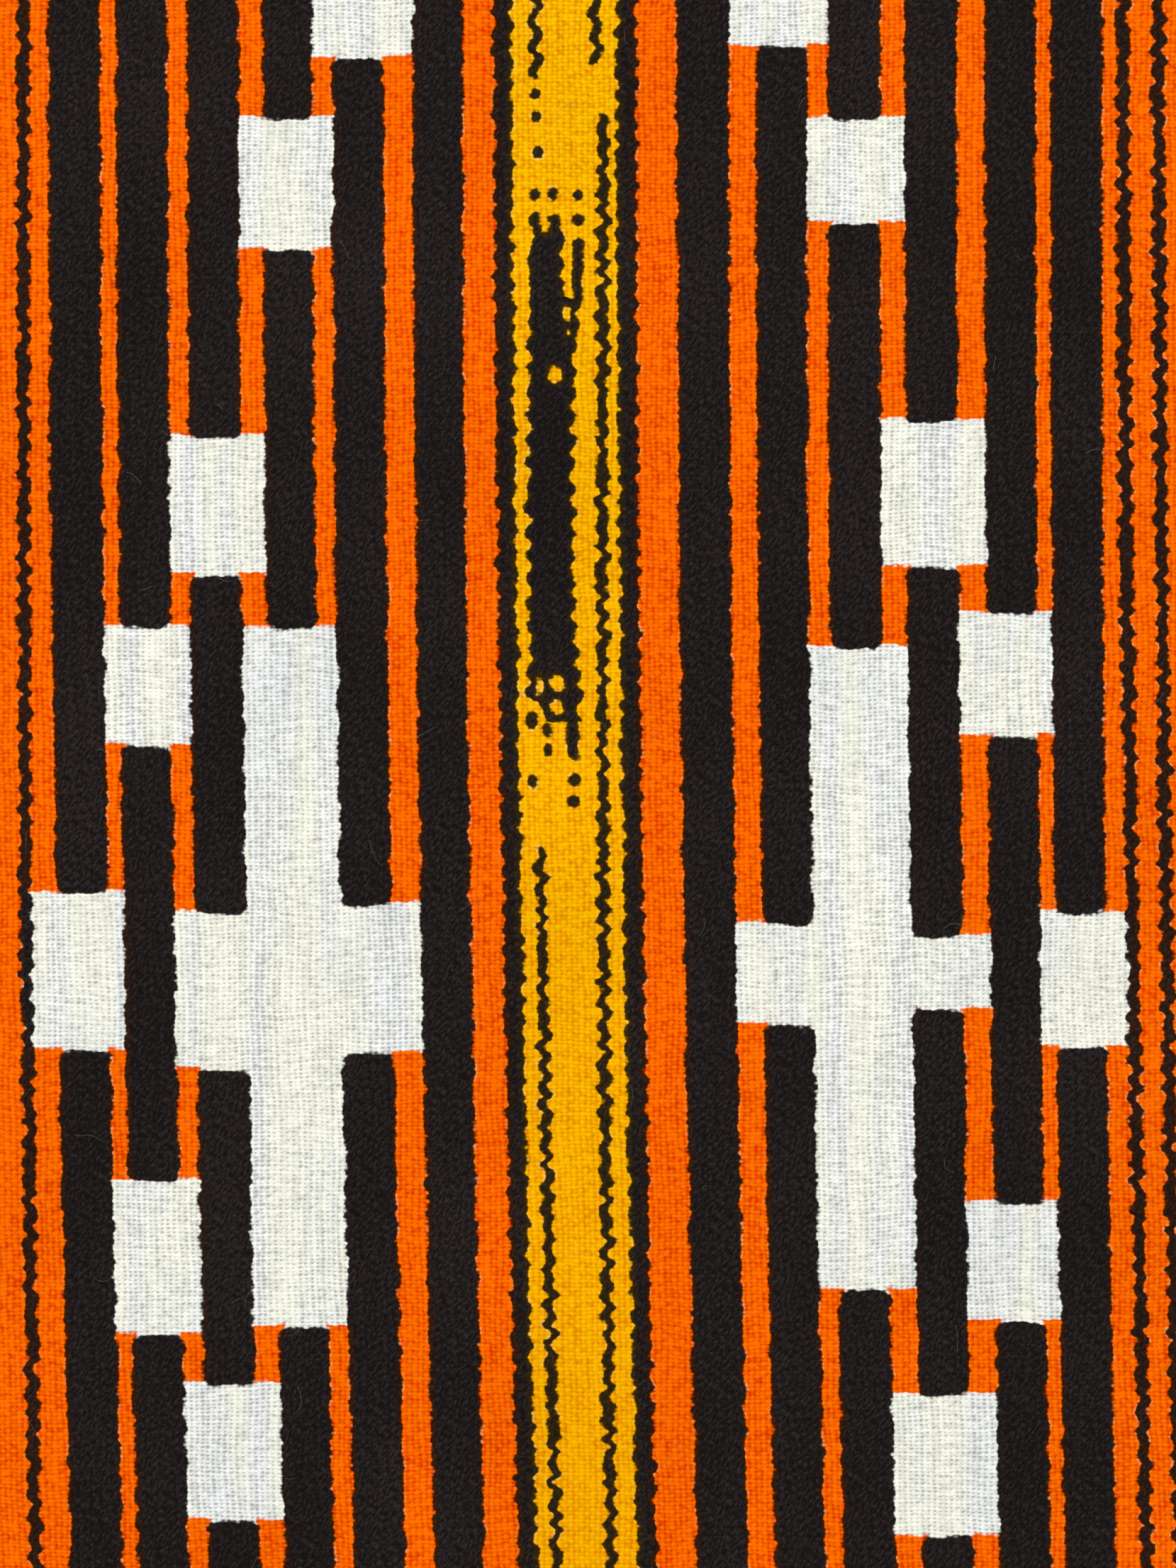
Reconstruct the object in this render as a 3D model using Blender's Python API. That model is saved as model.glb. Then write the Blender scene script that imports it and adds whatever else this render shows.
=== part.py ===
"""A cut length of printed cotton, lying flat with low, soft ripples.

Metres, +Z up. The origin is under the middle of the cloth, on the surface that it lies on. X runs across the
printed stripes and Y along them, with the design's upper end at +Y.
"""

import math
from collections import namedtuple

import bmesh
import bpy

MM = 0.001

# The cut length, and how finely its solid follows the ripples
WIDTH = 150.0 * MM
LENGTH = 200.0 * MM
THICKNESS = 1.0 * MM
CELLS_ACROSS = 30
CELLS_ALONG = 32

# The scissors' line wanders a little on each side
CUT_WANDER = 0.45 * MM
CUT_WAVE = 118.0 * MM

# The stripes lean to the right towards the lower end, a little less on the right-hand side
LEAN_TOP = 83.0 * MM
LEAN_LENGTH = 166.0 * MM
LEAN = 2.3 * MM
LEAN_LOSS = 0.47 * MM

COTTON_COLOUR = (0.42, 0.13, 0.03, 1.0)
COTTON_ROUGHNESS = 0.9

# Low ripples in millimetres: where the crest's middle lies, its heading in degrees from +Y towards +X, its
# length, its half width and its height
Ripple = namedtuple("Ripple", "name x y heading length half_width height")
RIPPLES = (
    Ripple("left long ripple", -44.0, -22.0, 4.0, 170.0, 17.0, 0.55),
    Ripple("middle ripple", -6.0, 48.0, -7.0, 130.0, 15.0, 0.45),
    Ripple("right long ripple", 37.0, -12.0, 6.0, 180.0, 16.0, 0.60),
    Ripple("upper right corner lift", 72.0, 92.0, -48.0, 90.0, 22.0, 2.20),
    Ripple("lower left corner lift", -72.0, -96.0, -55.0, 84.0, 20.0, 1.80),
    Ripple("lower edge ripple", 22.0, -100.0, 12.0, 64.0, 14.0, 1.10),
)


def clear_scene():
    for old in list(bpy.data.objects):
        bpy.data.objects.remove(old, do_unlink=True)


def cotton_material():
    cotton = bpy.data.materials.new("cotton")
    cotton.use_nodes = True
    shader = cotton.node_tree.nodes["Principled BSDF"]
    shader.inputs["Base Color"].default_value = COTTON_COLOUR
    shader.inputs["Roughness"].default_value = COTTON_ROUGHNESS
    shader.inputs["Metallic"].default_value = 0.0
    return cotton


def soft_bump(offset, reach):
    """1 at no offset, falling smoothly to 0 at the reach."""
    if abs(offset) >= reach:
        return 0.0
    return math.cos(0.5 * math.pi * offset / reach) ** 2


def ripple_height(ripple, x, y):
    """Height of one ripple over a place on the cloth."""
    turn = math.radians(ripple.heading)
    right = x - ripple.x * MM
    ahead = y - ripple.y * MM
    along = right * math.sin(turn) + ahead * math.cos(turn)
    across = right * math.cos(turn) - ahead * math.sin(turn)
    crest = soft_bump(across, ripple.half_width * MM)
    return ripple.height * MM * crest * soft_bump(along, 0.5 * ripple.length * MM)


def lean(x, y):
    """How far the cloth lies to the right of straight."""
    down = (LEAN_TOP - y) / LEAN_LENGTH
    side = x / (0.5 * WIDTH)
    return LEAN * down * abs(down) - LEAN_LOSS * down * side


def cut_place(column, row):
    """A grid point's place on the cut cloth before it is laid down."""
    y = LENGTH * (row / CELLS_ALONG - 0.5)
    side = 2.0 * column / CELLS_ACROSS - 1.0
    wander = CUT_WANDER * math.sin(2.0 * math.pi * y / CUT_WAVE + side)
    return side * (0.5 * WIDTH + wander), y


def laid_place(x, y):
    """Where a place on the cut cloth's underside lies."""
    height = max(ripple_height(ripple, x, y) for ripple in RIPPLES)
    return x + lean(x, y), y, height


def cloth_mesh():
    """The underside as one grid of faces, all looking up."""
    grid = bmesh.new()
    rows = []
    for row in range(CELLS_ALONG + 1):
        places = [cut_place(column, row) for column in range(CELLS_ACROSS + 1)]
        rows.append([grid.verts.new(laid_place(x, y)) for x, y in places])
    for lower, upper in zip(rows, rows[1:]):
        for i in range(CELLS_ACROSS):
            grid.faces.new((lower[i], lower[i + 1], upper[i + 1], upper[i]))
    xs = [vertex.co.x for vertex in grid.verts]
    bmesh.ops.translate(grid, verts=grid.verts, vec=(-0.5 * (min(xs) + max(xs)), 0.0, 0.0))
    mesh = bpy.data.meshes.new("cloth")
    grid.to_mesh(mesh)
    grid.free()
    mesh.shade_smooth()
    return mesh


def add_cloth():
    """The sheet: its underside is the grid, and its thickness stands up from it."""
    cloth = bpy.data.objects.new("cloth", cloth_mesh())
    bpy.context.scene.collection.objects.link(cloth)
    cloth.data.materials.append(cotton_material())
    sheet = cloth.modifiers.new("sheet", "SOLIDIFY")
    sheet.thickness = THICKNESS
    sheet.offset = 1.0
    return cloth


clear_scene()
add_cloth()
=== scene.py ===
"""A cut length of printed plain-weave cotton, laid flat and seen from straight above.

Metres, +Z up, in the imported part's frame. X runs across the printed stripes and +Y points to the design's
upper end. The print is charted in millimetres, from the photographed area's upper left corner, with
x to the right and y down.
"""

import math
import random
from collections import namedtuple

import bpy
import numpy as np
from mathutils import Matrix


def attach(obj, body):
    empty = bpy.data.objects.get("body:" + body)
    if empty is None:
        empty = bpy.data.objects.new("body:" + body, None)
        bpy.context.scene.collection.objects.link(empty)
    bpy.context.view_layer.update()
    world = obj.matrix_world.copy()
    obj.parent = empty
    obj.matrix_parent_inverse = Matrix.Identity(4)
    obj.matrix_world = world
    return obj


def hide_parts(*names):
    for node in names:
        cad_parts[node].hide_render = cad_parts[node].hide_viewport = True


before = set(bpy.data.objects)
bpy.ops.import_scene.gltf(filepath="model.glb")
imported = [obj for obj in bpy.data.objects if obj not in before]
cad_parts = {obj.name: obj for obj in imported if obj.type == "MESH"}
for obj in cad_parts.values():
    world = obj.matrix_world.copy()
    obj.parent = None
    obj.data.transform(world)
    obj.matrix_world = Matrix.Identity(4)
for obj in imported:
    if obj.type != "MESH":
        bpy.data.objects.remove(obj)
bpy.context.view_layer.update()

bl_info = {
    "name": "Printed Cotton Cut Length",
    "version": (1, 0, 0),
    "blender": (4, 5, 0),
    "location": "3D View > Sidebar > Cloth",
    "description": "Builds a flat cut length of printed cotton with its floor, light and camera",
    "category": "Object",
}

MM = 0.001
NODE = "cloth"
BODY = "root"

# The cut length as it was cut, which the solid repeats
WIDTH = 150.0 * MM
LENGTH = 200.0 * MM
CUT_WANDER = 0.45 * MM
CUT_WAVE = 118.0 * MM

# Cells across and along in which the laid cloth's width is measured, twice as many as the solid has
SHIFT_CELLS = (60, 64)

# The stripes lean to the right towards the lower end, a little less on the right-hand side
LEAN_TOP = 83.0 * MM
LEAN_LENGTH = 166.0 * MM
LEAN = 2.3 * MM
LEAN_LOSS = 0.47 * MM

# The solid's low ripples in millimetres: where the crest's middle lies, its heading in degrees from +Y
# towards +X, its length, its half width and its height
Ripple = namedtuple("Ripple", "name x y heading length half_width height")
RIPPLES = (
    Ripple("left long ripple", -44.0, -22.0, 4.0, 170.0, 17.0, 0.55),
    Ripple("middle ripple", -6.0, 48.0, -7.0, 130.0, 15.0, 0.45),
    Ripple("right long ripple", 37.0, -12.0, 6.0, 180.0, 16.0, 0.60),
    Ripple("upper right corner lift", 72.0, 92.0, -48.0, 90.0, 22.0, 2.20),
    Ripple("lower left corner lift", -72.0, -96.0, -55.0, 84.0, 20.0, 1.80),
    Ripple("lower edge ripple", 22.0, -100.0, 12.0, 64.0, 14.0, 1.10),
)

# The photographed area in chart millimetres
VIEW_WIDTH = 124.4
VIEW_HEIGHT = 165.9

# How far the print leans to the right there, in chart millimetres, by the share of the way down and out
PRINT_LEAN = 0.12
PRINT_LEAN_SQUARED = 2.15
PRINT_LEAN_OUT = 0.47
PRINT_LEAN_OUT_SQUARED = 0.5

# Black stripes: left and right edge, how much further right than the rest one lies at the view's foot, and
# the reach of its zigzag. The two thin ones hold the yellow band between them.
Stripe = namedtuple("Stripe", "left right drift swing", defaults=(0.0, 0.0))
STRIPE_PERIOD = 2.15
STRIPES = (
    Stripe(-14.4, -9.2),
    Stripe(5.15, 10.6, 0.2),
    Stripe(12.4, 17.75),
    Stripe(19.85, 25.25),
    Stripe(27.85, 33.05),
    Stripe(35.2, 40.55),
    Stripe(43.7, 48.95),
    Stripe(52.2, 54.1, 0.4, 0.15),
    Stripe(65.25, 67.25, 0.0, 0.15),
    Stripe(71.6, 77.05),
    Stripe(79.95, 85.25),
    Stripe(87.6, 93.1, -0.3),
    Stripe(95.7, 101.15),
    Stripe(104.1, 109.5),
    Stripe(111.1, 116.55),
    Stripe(130.65, 136.0),
)
YELLOW_LEFT = 53.1
YELLOW_RIGHT = 66.2

# The print's three sections across the cloth, each with its own finish: left and right edge
Section = namedtuple("Section", "name left right")
SECTIONS = (
    Section("left stripes", -60.0, 50.6),
    Section("yellow band", 50.6, 69.4),
    Section("right stripes", 69.4, 200.0),
)

# Wavy black lines: the middle at the view's top and at its foot, half the width, the reach of the zigzag,
# its period and where it starts, and the ends along the line
Wave = namedtuple("Wave", "at_top at_foot half swing period start top foot")
FAR_UP = -40.0
FAR_DOWN = 220.0
WAVES = (
    Wave(-7.2, -6.9, 0.6, 0.22, 2.1, 0.9, FAR_UP, FAR_DOWN),
    Wave(-4.2, -4.4, 0.58, 0.22, 2.0, 0.2, FAR_UP, FAR_DOWN),
    Wave(2.6, 1.65, 0.58, 0.2, 2.2, 0.5, FAR_UP, FAR_DOWN),
    Wave(118.65, 119.9, 0.62, 0.23, 2.2, 0.4, FAR_UP, FAR_DOWN),
    Wave(122.45, 123.5, 0.58, 0.23, 2.15, 1.3, FAR_UP, FAR_DOWN),
    Wave(128.4, 128.7, 0.56, 0.22, 2.1, 0.1, FAR_UP, FAR_DOWN),
    Wave(56.6, 56.6, 0.48, 0.32, 2.65, 0.45, FAR_UP, 8.2),
    Wave(56.3, 56.6, 0.46, 0.27, 2.1, 0.84, 89.4, FAR_DOWN),
    Wave(62.95, 62.9, 0.46, 0.3, 2.6, 1.4, FAR_UP, 6.5),
    Wave(63.95, 62.4, 0.5, 0.27, 2.2, 1.9, 11.8, FAR_DOWN),
)

# White blocks, each laid over one black stripe and the orange beside it
Block = namedtuple("Block", "left right top foot")
BLOCKS = (
    Block(32.9, 43.55, -9.0, 6.0),
    Block(25.5, 34.95, 12.45, 26.3),
    Block(17.65, 27.6, 46.1, 60.65),
    Block(10.3, 19.65, 66.2, 78.75),
    Block(2.15, 12.1, 94.2, 110.85),
    Block(10.15, 19.6, 124.65, 140.85),
    Block(17.4, 27.75, 146.1, 160.5),
    Block(24.95, 35.45, 180.0, 194.25),
    Block(76.95, 87.5, -7.5, 4.8),
    Block(85.25, 96.0, 12.45, 23.45),
    Block(92.9, 104.2, 44.4, 59.85),
    Block(100.9, 111.0, 64.7, 77.7),
    Block(109.45, 118.6, 96.3, 110.6),
    Block(100.85, 111.15, 127.0, 139.5),
    Block(92.65, 104.15, 147.2, 162.15),
    Block(83.95, 95.0, 182.25, 195.0),
    Block(-16.5, -7.6, 96.3, 110.6),
    Block(128.4, 138.5, 94.2, 110.85),
)
# The two crosses: an upright and two arms
CROSSES = (
    Block(25.25, 35.35, 66.2, 140.05),
    Block(17.35, 30.0, 96.3, 112.8),
    Block(30.0, 43.85, 95.45, 111.15),
    Block(85.25, 95.7, 68.35, 136.05),
    Block(76.9, 90.0, 97.5, 108.15),
    Block(90.0, 104.25, 98.85, 106.5),
)

# Black dots in the yellow band: middle, radius, and how much taller than wide
Dot = namedtuple("Dot", "x y radius tall")
DOTS = (
    Dot(56.6, 9.95, 0.56, 1.05),
    Dot(56.7, 12.35, 0.52, 1.05),
    Dot(56.9, 16.2, 0.6, 1.05),
    Dot(56.55, 20.65, 0.55, 1.05),
    Dot(58.4, 20.55, 0.46, 1.4),
    Dot(61.1, 20.65, 0.5, 1.05),
    Dot(61.1, 23.3, 0.6, 1.05),
    Dot(55.75, 76.1, 0.64, 1.4),
    Dot(57.4, 77.1, 0.48, 1.4),
    Dot(57.4, 79.25, 0.45, 1.4),
    Dot(55.75, 82.55, 0.46, 1.4),
    Dot(60.2, 82.35, 0.62, 1.05),
    Dot(60.05, 84.6, 0.58, 1.05),
)

# The long black figure in the yellow band: its body's edges from the top to the foot, each as y and x, and
# between which two places across they all lie
BODY_TOP = 24.3
BODY_FOOT = 76.1
FIGURE_REACH = (54.0, 62.0)
BODY_LEFT = (
    (24.3, 56.3), (27.0, 55.95), (40.0, 55.8), (54.0, 55.6), (66.5, 55.5), (69.5, 55.8),
    (71.2, 55.55), (72.4, 55.1), (73.4, 55.4), (74.5, 56.4), (75.3, 57.0), (76.1, 58.3),
)
BODY_RIGHT = (
    (24.3, 59.3), (25.3, 59.65), (26.6, 58.9), (27.7, 59.65), (29.0, 59.1), (29.8, 59.6),
    (30.9, 59.3), (31.2, 59.5), (31.5, 61.4), (34.0, 61.0), (35.4, 61.1), (37.5, 60.5),
    (46.0, 60.4), (58.0, 60.3), (64.0, 60.25), (68.0, 60.5), (72.5, 60.75), (76.1, 60.65),
)
# The zigzag of those edges: its reach and period, where it begins and is full, and how far each side is
# along it
BODY_SWING = 0.28
BODY_PERIOD = 2.45
BODY_ZIGZAG_TOP = 31.5
BODY_ZIGZAG_FULL = 33.5
BODY_LEFT_START = 0.3
BODY_RIGHT_START = 1.3
# Its prongs and tail, as round-ended bars, and the yellow beads left open in it
Prong = namedtuple("Prong", "x0 y0 x1 y1 radius")
PRONGS = (
    Prong(56.6, 22.9, 56.75, 26.0, 0.46),
    Prong(58.55, 23.1, 58.4, 26.0, 0.6),
    Prong(61.15, 25.6, 61.0, 31.6, 0.54),
    Prong(60.0, 75.5, 60.15, 79.5, 0.62),
)
BEADS = (
    Dot(57.65, 23.6, 0.33, 2.2),
    Dot(59.9, 33.0, 0.52, 1.25),
    Dot(59.9, 35.0, 0.27, 1.05),
    Dot(58.55, 39.5, 0.85, 1.05),
    Dot(56.6, 72.45, 0.45, 2.2),
    Dot(58.55, 72.1, 0.8, 1.05),
    Dot(58.35, 74.55, 0.74, 1.05),
)

# How low the black ink and the dots lie, and how far right the coloured inks do, in millimetres
BLACK_LOW = 0.3
DOT_LOW = 0.15
INK_RIGHT = 0.12
# How far the coloured inks reach in under the black, how much wider than charted the white blocks are in
# them, how much narrower in the black, and how round the black's corners are there
TRAP = 0.38
BLOCK_SPREAD = 0.4
BLOCK_INSET = 1.1
BLACK_CORNER = 1.6
# How far the black ink spreads, and how soft each ink's edge is
BLACK_SPREAD = 0.03
EDGE_SOFT = 0.15
# How unsteady the inks' edges are: by slow wobble, by each yarn's crown, by every second yarn and by luck
WOBBLE = 1.1
WOBBLE_DOWN = 0.8 * WOBBLE
DOT_WOBBLE = 0.4 * WOBBLE
CROWN_SCALLOP = 0.026
PARITY_SCALLOP = 0.04
LUCK_SCALLOP = 0.12
# How far an unruly stretch shifts a wavy line's teeth, lengthens them and thins the line, and how round its
# ends are
WAVE_HURRY = 1.0
WAVE_GROWTH = 1.4
WAVE_THINNING = 0.25
WAVE_END = 0.7

# How far the yarns drift, how unevenly they are spaced, and how they rise, fall off and blend
YARN_DRIFT = 1.0
YARN_WANDER = 0.32
CROWN_RISE = 0.5
WARP_FALL = 4.0
WEFT_FALL = 3.4
YARN_BLEND = 0.3
# The gaps between yarns: their size and slant, how much they vary, a tall gap's reach across and down, and
# how many times its size off a gap's shade ends and is full
GAP_HALF_WIDTH = 0.15
GAP_HALF_HEIGHT = 0.095
GAP_SLANT = 0.12
GAP_VARIETY = 0.9
TALL_GAP_ACROSS = 1.5
TALL_GAP_DOWN = 0.55
GAP_RIM = 1.8
GAP_CORE = 0.2
# How much tighter the gaps are in the paler columns, and everywhere
COLUMN_TIGHTNESS = 1.25
GAP_TIGHTNESS = 0.06

# Uneven fields: features to a millimetre across and down, or to a yarn, where the field starts, its finer
# detail and how strong that is
Field = namedtuple("Field", "scale start detail roughness", defaults=((0.0, 0.0), 0.0, 0.5))
WARP_DRIFT = Field((0.11, 0.08), detail=1.0)
WEFT_DRIFT = Field((0.11, 0.08), (40.0, 0.0), 1.0)
YARN_SPACING = Field((0.7, 0.7), (31.0, 0.0))
EDGE_WOBBLE = Field((0.3, 0.5), (7.0, 0.0), 2.0, 0.6)
LINE_UNREST = Field((0.13, 0.35), (3.0, 0.0))
CLOUDS = Field((0.06, 0.05), (0.0, 11.0))
COLUMNS = Field((0.33, 0.015), (5.0, 0.0))
WEFT_STREAKS = Field((0.35, 1.0), (0.0, 53.0))
WARP_LANES = Field((0.9, 0.12), (23.0, 0.0))
FIBRES = Field((5.0, 11.0))
GLINTS = Field((1.5, 4.3), detail=1.0, roughness=0.6)
FIBRE_TINT = Field((300.0, 300.0), detail=1.0)
FLOOR_GRAIN = Field((400.0, 400.0), detail=3.0)
# How far the fibres slant, and which way the painted glints on the black ink slant
FIBRE_SLANT = 0.5
GLINT_TURN = math.radians(55.0)

# How far from a gap's painted shade to a crown's colour a yarn is painted as lit, and what adds to that
BASE_LIGHT = 0.79
HEIGHT_LIGHT = 0.2
STREAK_LIGHT = 0.5
LANE_LIGHT = 0.4
FIBRE_LIGHT = 0.35
SPACING_LIGHT = 0.2
# The same for unprinted yarns, painted light and shade, whose colour goes from white to cream
PARITY_LIGHT = 0.07
GAP_SHADE = 0.64
CREAM = 0.66
COLUMN_CREAM = 2.7
CLOUD_CREAM = 1.6
# The same under the coloured inks, with painted light on the crowns and painted shade in the hollows
INK_SHADE = 0.12
INK_CROWN_LIGHT = 0.38
INK_CROWN_FULL = 0.9
INK_LUCK_LIGHT = 0.22
INK_SPACING_LIGHT = 0.35
INK_HOLLOW_SHADE = 0.4
CLOUD_LIGHT = 0.1
YELLOW_SOFT = 0.05
# The barely inked yarns beside the black: how pale, how near the black, how patchy, their share on the
# right and from which heights of the weave
PALE_TIP = 0.3
TIP_NEAR = 0.12
TIP_FAR = 0.32
TIP_UNREST = 1.5
TIP_PATCH = 0.55
TIP_RIGHT_SHARE = 0.3
TIP_LOW = -0.5
TIP_HIGH = 0.2
# The black ink: what paints its fibres' glints, how much ink shines through it and how far in from its edge
GLINT_YARNS = 0.2
GLINT_PARITY = 0.07
GLINT_CLOUDS = 0.15
GLINT_NONE = -0.2
GLINT_FULL = 0.4
GLINT_GAP_SHADE = 0.4
DEEP_TINT = 0.03
DEEP_LIGHT = 0.75
DEEP_GLINT = 0.8
UNDER_REACH = 0.85
# The back: how much paler it is and how lit its gaps are, and how far the fibres stand up in the relief
BACK_PALENESS = 0.62
BACK_GAP_LIGHT = 0.6
FIBRE_RELIEF = 0.3

# The yarns' cut ends: how many finer fibres splay from each, the reach of its stub and of those as shares
# of the longest, how far they lean, bend, droop and rise in thicknesses, how deep they are rooted, how they
# taper, and how much of the face's colour they have
SPLAYS = 2
STUB_REACH = (0.2, 0.5)
SPLAY_REACH = (0.35, 1.0)
STUB_LEAN = 0.25
SPLAY_LEAN = 0.45
SPLAY_BEND = 0.4
STUB_DROP = -0.15
SPLAY_LIFT = (-0.3, 0.25)
ROOT_DEPTH = 0.4 * MM
STUB_TAPER = (0.7, 0.75, 0.35)
SPLAY_TAPER = (0.3, 0.3, 0.24, 0.1)
ENDS_FACE = 0.6

# The stray fibres: how much of the cloth they lie on, their length and lift in millimetres, how they curl,
# how far their ends sink in, and how thick they are
STRAY_SPAN = 0.49
STRAY_LENGTH = (0.8, 3.6)
STRAY_LIFT = (0.02, 0.16)
STRAY_CURL = 0.2
STRAY_WANDER = 0.18
STRAY_STEPS = 7
STRAY_SINK = 0.01 * MM
STRAY_RADIUS = 0.008 * MM

# How dark the darker parts of a fibre are and how soft their edges, how dark the floor's darker parts are,
# how far below the cloth it lies, and the height of the camera's sensor in millimetres
FIBRE_SHADE = 0.55
FIBRE_TINT_SOFT = 0.15
FLOOR_SHADE = 0.97
FLOOR_DROP = 0.02 * MM
SENSOR_HEIGHT = 36.0


def cut_side(y, side):
    """Where a place lies across the cut length, side being -1 and 1 at its cut edges."""
    wander = CUT_WANDER * np.sin(2.0 * math.pi * y / CUT_WAVE + side)
    return side * (0.5 * WIDTH + wander)


def lean(x, y):
    """How far the cloth lies to the right of straight."""
    down = (LEAN_TOP - y) / LEAN_LENGTH
    side = x / (0.5 * WIDTH)
    return LEAN * down * np.abs(down) - LEAN_LOSS * down * side


def soft_bump(offset, reach):
    """1 at no offset, falling smoothly to 0 at the reach."""
    inside = np.clip(offset / reach, -1.0, 1.0)
    return np.cos(0.5 * math.pi * inside) ** 2


def ripple_height(x, y):
    """How high the cloth's underside lies over the floor."""
    heights = np.zeros(np.broadcast(x, y).shape)
    for ripple in RIPPLES:
        turn = math.radians(ripple.heading)
        right = x - ripple.x * MM
        ahead = y - ripple.y * MM
        along = right * math.sin(turn) + ahead * math.cos(turn)
        across = right * math.cos(turn) - ahead * math.sin(turn)
        crest = soft_bump(across, ripple.half_width * MM) * soft_bump(along, 0.5 * ripple.length * MM)
        heights = np.maximum(heights, ripple.height * MM * crest)
    return heights


def cut_grid(columns, rows):
    """Flat places all over the cut length, as two arrays."""
    y = LENGTH * np.linspace(-0.5, 0.5, rows + 1)[:, None] * np.ones((1, columns + 1))
    side = np.linspace(-1.0, 1.0, columns + 1)[None, :] * np.ones((rows + 1, 1))
    return cut_side(y, side), y


def middle_shift():
    """How far the laid cloth is moved so that its box is centred on X."""
    x, y = cut_grid(*SHIFT_CELLS)
    across = x + lean(x, y)
    return -0.5 * float(across.min() + across.max())


SHIFT = middle_shift()
VIEW_X = float(lean(0.0, 0.0)) + SHIFT


def laid(x, y):
    """Where a flat place of the underside lies."""
    return np.stack([x + lean(x, y) + SHIFT, y, ripple_height(x, y)], axis=-1)


def chart_place(points):
    """The print's place, in chart millimetres, at each laid place."""
    across = (points[..., 0] - VIEW_X) / MM + 0.5 * VIEW_WIDTH
    down = 0.5 * VIEW_HEIGHT - points[..., 1] / MM
    t = down / VIEW_HEIGHT
    out = across / (0.5 * VIEW_WIDTH) - 1.0
    shift = PRINT_LEAN * t + PRINT_LEAN_SQUARED * t * np.abs(t)
    shift -= PRINT_LEAN_OUT * t * out + PRINT_LEAN_OUT_SQUARED * t * out * out
    return across - shift, down


class Value:
    """One number, colour or vector of a material, so that shader maths reads as Python."""

    def __init__(self, finish, output):
        self.finish = finish
        self.output = output

    def also(self, name):
        """Another output of the same node."""
        return Value(self.finish, self.output.node.outputs[name])

    def math(self, operation, *others, clamp=False):
        """A Math node of this value and the others."""
        settings = {"operation": operation, "use_clamp": clamp}
        return self.finish.node("ShaderNodeMath", settings, dict(enumerate((self, *others))))

    def after(self, operation, other):
        """A Math node with the other value first."""
        return self.finish.node("ShaderNodeMath", {"operation": operation}, {0: other, 1: self})

    def __add__(self, other):
        return self.math("ADD", other)

    __radd__ = __add__

    def __sub__(self, other):
        return self.math("SUBTRACT", other)

    def __rsub__(self, other):
        return self.after("SUBTRACT", other)

    def __mul__(self, other):
        return self.math("MULTIPLY", other)

    __rmul__ = __mul__

    def __truediv__(self, other):
        return self.math("DIVIDE", other)

    def __neg__(self):
        return self.math("MULTIPLY", -1.0)

    def __abs__(self):
        return self.math("ABSOLUTE")

    def min(self, other):
        return self.math("MINIMUM", other)

    def max(self, other):
        return self.math("MAXIMUM", other)

    def cosine(self, period):
        """A cosine wave of this length."""
        return (self * (2.0 * math.pi / period)).math("COSINE")

    def clamped(self):
        return self.math("ADD", 0.0, clamp=True)


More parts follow.
